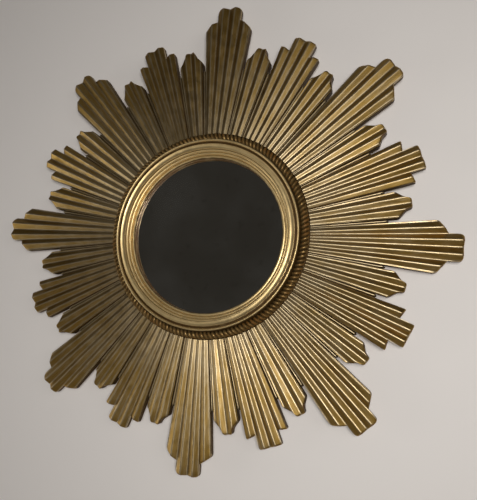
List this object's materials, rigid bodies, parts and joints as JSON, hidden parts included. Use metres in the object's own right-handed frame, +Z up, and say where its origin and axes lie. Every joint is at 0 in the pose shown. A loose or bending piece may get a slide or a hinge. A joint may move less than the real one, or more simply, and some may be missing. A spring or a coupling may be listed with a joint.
{
  "type": "sunburst mirror",
  "caption": "Round wall mirror in a gilded sunburst frame: fluted rays of stepped lengths on a backboard, turned ring with a twisted band, turn buttons and hanging ring behind.",
  "frame": {"origin": "on the wall, at the place of the hook that the hanging ring hangs on", "axes": "+Z up as hung, +Y towards the wall, the mirror faces -Y, +X to the right seen from the front"},
  "size_m": [0.7, 0.0528, 0.7],
  "materials": {
    "gilt_rays": "worn gold leaf over red-brown ground, satin",
    "gilt_ring": "gold leaf, satin, brighter than the rays",
    "gilt_band": "dark toned gilding",
    "mirror_glass": "polished, silvered",
    "plywood": "aged, unfinished",
    "packing": "matt felt",
    "brass": "tarnished",
    "steel": "dull",
    "felt": "matt felt"
  },
  "bodies": {
    "frame": {"backboard": "plywood", "backing_panel": "plywood", "button_screws": "steel", "filler_slips": "gilt_rays", "hanger_strap": "brass", "mirror_glass": "mirror_glass", "packing_sheet": "packing", "ray_long_01": "gilt_rays", "ray_long_02": "gilt_rays", "ray_long_03": "gilt_rays", "ray_long_04": "gilt_rays", "ray_long_05": "gilt_rays", "ray_long_06": "gilt_rays", "ray_long_07": "gilt_rays", "ray_long_08": "gilt_rays", "ray_medium_01": "gilt_rays", "ray_medium_02": "gilt_rays", "ray_medium_03": "gilt_rays", "ray_medium_04": "gilt_rays", "ray_medium_05": "gilt_rays", "ray_medium_06": "gilt_rays", "ray_medium_07": "gilt_rays", "ray_medium_08": "gilt_rays", "ray_screws": "steel", "ray_short_01": "gilt_rays", "ray_short_02": "gilt_rays", "ray_short_03": "gilt_rays", "ray_short_04": "gilt_rays", "ray_short_05": "gilt_rays", "ray_short_06": "gilt_rays", "ray_short_07": "gilt_rays", "ray_short_08": "gilt_rays", "ray_short_09": "gilt_rays", "ray_short_10": "gilt_rays", "ray_short_11": "gilt_rays", "ray_short_12": "gilt_rays", "ray_short_13": "gilt_rays", "ray_short_14": "gilt_rays", "ray_short_15": "gilt_rays", "ray_short_16": "gilt_rays", "ring_moulding": "gilt_ring", "ring_screws": "steel", "strap_screws": "steel", "twisted_band": "gilt_band", "wall_pads": "felt"},
    "button_top": {"turn_button_top": "brass"},
    "button_right": {"turn_button_right": "brass"},
    "button_bottom": {"turn_button_bottom": "brass"},
    "button_left": {"turn_button_left": "brass"},
    "loop": {"hanging_ring": "brass"}
  },
  "joints": [
    {"name": "button_top_swivel", "type": "hinge", "parent": "frame", "child": "button_top", "pos_m": [0, -0.0158, -0.0939], "axis": [0, 1, 0], "range_deg": [-90, 90]},
    {"name": "button_right_swivel", "type": "hinge", "parent": "frame", "child": "button_right", "pos_m": [0.1315, -0.0158, -0.2254], "axis": [0, 1, 0], "range_deg": [-90, 90]},
    {"name": "button_bottom_swivel", "type": "hinge", "parent": "frame", "child": "button_bottom", "pos_m": [0, -0.0158, -0.3569], "axis": [0, 1, 0], "range_deg": [-90, 90]},
    {"name": "button_left_swivel", "type": "hinge", "parent": "frame", "child": "button_left", "pos_m": [-0.1315, -0.0158, -0.2254], "axis": [0, 1, 0], "range_deg": [-90, 90]},
    {"name": "hanging_ring_swing", "type": "hinge", "parent": "frame", "child": "loop", "pos_m": [0, -0.00515, -0.0134], "axis": [-1, 0, 0], "range_deg": [0, 150]}
  ]
}
